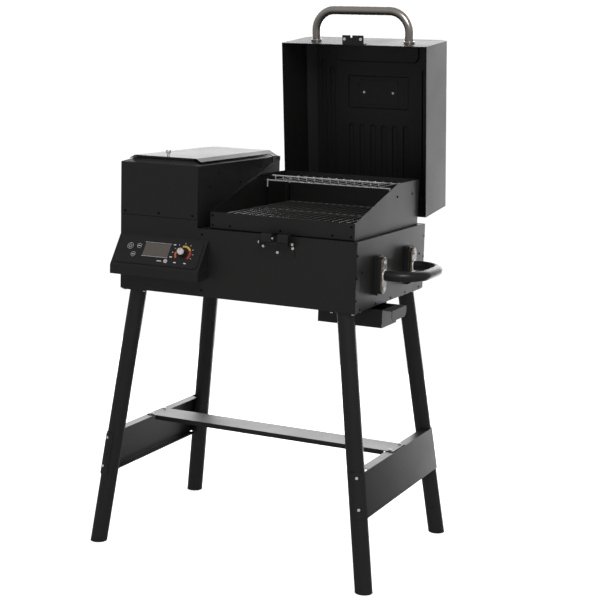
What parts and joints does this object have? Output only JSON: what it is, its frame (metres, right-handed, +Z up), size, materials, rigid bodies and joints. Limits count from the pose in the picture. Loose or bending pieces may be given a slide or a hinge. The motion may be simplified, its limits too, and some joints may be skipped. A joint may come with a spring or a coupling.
{
  "type": "pellet smoker grill",
  "caption": "Box-shaped wood-pellet grill on four splayed tube legs, with a hinged cooking lid, side hopper, auger feed, digital control panel and slide-out grease box.",
  "frame": {"origin": "centre of the overall box on the floor", "axes": "+X to the right along the front, from the hopper towards the side handle; +Y to the back; +Z up"},
  "size_m": [0.8074, 0.6596, 1.3555],
  "materials": {
    "black_powder_coat": "satin black powder coat with a fine texture",
    "black_tube": "smooth satin black paint on tube",
    "brushed_stainless": "warm brushed stainless tube",
    "zinc": "zinc-plated steel",
    "chrome_wire": "bright chromed wire",
    "dark_iron": "dark enamelled or heat-blackened steel",
    "bare_steel": "plain steel inside the grill",
    "black_plastic": "matt black plastic",
    "display_glass": "grey-brown display window",
    "board": "green circuit board"
  },
  "bodies": {
    "frame": {"bottom_panel": "black_powder_coat", "grease_bracket": "black_powder_coat", "grate_ledge": "black_powder_coat", "front_panel": "black_powder_coat", "rear_panel": "black_powder_coat", "left_panel": "black_powder_coat", "right_panel": "black_powder_coat", "divider_panel": "black_powder_coat", "top_deck": "black_powder_coat", "chamber_shell": "black_powder_coat", "hopper_shell": "black_powder_coat", "hopper_funnel": "black_powder_coat", "control_housing": "black_powder_coat", "body_hinge_leaf": "black_powder_coat", "latch_base": "black_powder_coat", "side_brace_left": "black_powder_coat", "side_brace_right": "black_powder_coat", "crossbar": "black_powder_coat", "leg_front_left": "black_tube", "leg_front_right": "black_tube", "leg_rear_left": "black_tube", "leg_rear_right": "black_tube", "side_handle_tube": "black_tube", "gear_motor": "zinc", "probe_jack": "zinc", "side_handle_flange_front": "zinc", "side_handle_flange_rear": "zinc", "fire_pot": "dark_iron", "igniter": "bare_steel", "auger_tube": "bare_steel", "temperature_probe": "bare_steel", "fan_housing": "black_plastic", "control_fascia": "black_plastic", "power_inlet": "black_plastic", "side_handle_bracket_front": "black_plastic", "side_handle_bracket_rear": "black_plastic", "foot_cap_front_left": "black_plastic", "foot_cap_front_right": "black_plastic", "foot_cap_rear_left": "black_plastic", "foot_cap_rear_right": "black_plastic", "display_window": "display_glass", "control_board": "board"},
    "lid": {"lid_shell": "black_powder_coat", "lid_handle": "brushed_stainless", "lid_catch": "black_powder_coat", "lid_hinge_leaf": "black_powder_coat"},
    "hopper_cover": {"hopper_lid": "black_powder_coat", "hopper_lid_knob": "chrome_wire"},
    "latch": {"latch_lever": "black_powder_coat"},
    "dial": {"control_knob": "black_plastic"},
    "button_power": {"power_button": "black_plastic"},
    "button_menu": {"menu_button": "black_plastic"},
    "button_light": {"light_button": "black_plastic"},
    "grease_drawer": {"grease_box": "black_powder_coat"},
    "auger": {"auger_screw": "bare_steel"},
    "fan": {"fan_impeller": "black_plastic"},
    "baffle": {"heat_baffle": "dark_iron"},
    "tray": {"drip_tray": "bare_steel"},
    "grate": {"cooking_grate": "dark_iron"},
    "rack": {"warming_rack": "chrome_wire"}
  },
  "joints": [
    {"name": "lid_hinge", "type": "hinge", "parent": "frame", "child": "lid", "pos_m": [0.09294, 0.16365, 0.8204], "axis": [-1, 0, 0], "range_deg": [-83.5, 0]},
    {"name": "hopper_cover_hinge", "type": "hinge", "parent": "frame", "child": "hopper_cover", "pos_m": [-0.23406, 0.15415, 0.9582], "axis": [-1, 0, 0], "range_deg": [0, 95]},
    {"name": "latch_pivot", "type": "hinge", "parent": "frame", "child": "latch", "pos_m": [0.08994, -0.29585, 0.8002], "axis": [1, 0, 0], "range_deg": [0, 32], "stiffness_Nm_per_rad": 0.12, "springref_deg": -11.46},
    {"name": "dial_turn", "type": "hinge", "parent": "frame", "child": "dial", "pos_m": [-0.15106, -0.30406, 0.75407], "axis": [0, -0.8266, 0.5628], "range_deg": [-135, 135]},
    {"name": "power_press", "type": "slide", "parent": "frame", "child": "button_power", "axis": [0, 0.8266, -0.5628], "range_m": [0, 0.0012], "stiffness_N_per_m": 900},
    {"name": "menu_press", "type": "slide", "parent": "frame", "child": "button_menu", "axis": [0, 0.8266, -0.5628], "range_m": [0, 0.0012], "stiffness_N_per_m": 900},
    {"name": "light_press", "type": "slide", "parent": "frame", "child": "button_light", "axis": [0, 0.8266, -0.5628], "range_m": [0, 0.0012], "stiffness_N_per_m": 900},
    {"name": "grease_drawer_slide", "type": "slide", "parent": "frame", "child": "grease_drawer", "axis": [1, 0, 0], "range_m": [0, 0.15]},
    {"name": "auger_turn", "type": "hinge", "parent": "frame", "child": "auger", "pos_m": [-0.14106, -0.06885, 0.7012], "axis": [1, 0, 0], "continuous": true},
    {"name": "fan_turn", "type": "hinge", "parent": "frame", "child": "fan", "pos_m": [-0.19606, 0.06516, 0.6812], "axis": [0, 0, 1], "continuous": true},
    {"name": "baffle_lift", "type": "slide", "parent": "frame", "child": "baffle", "axis": [0, 0, 1], "range_m": [0, 0.06]},
    {"name": "tray_lift", "type": "slide", "parent": "baffle", "child": "tray", "axis": [0, 0, 1], "range_m": [0, 0.04]},
    {"name": "grate_lift", "type": "slide", "parent": "tray", "child": "grate", "axis": [0, 0, 1], "range_m": [0, 0.1]},
    {"name": "rack_lift", "type": "slide", "parent": "grate", "child": "rack", "axis": [0, 0, 1], "range_m": [0, 0.1]}
  ]
}
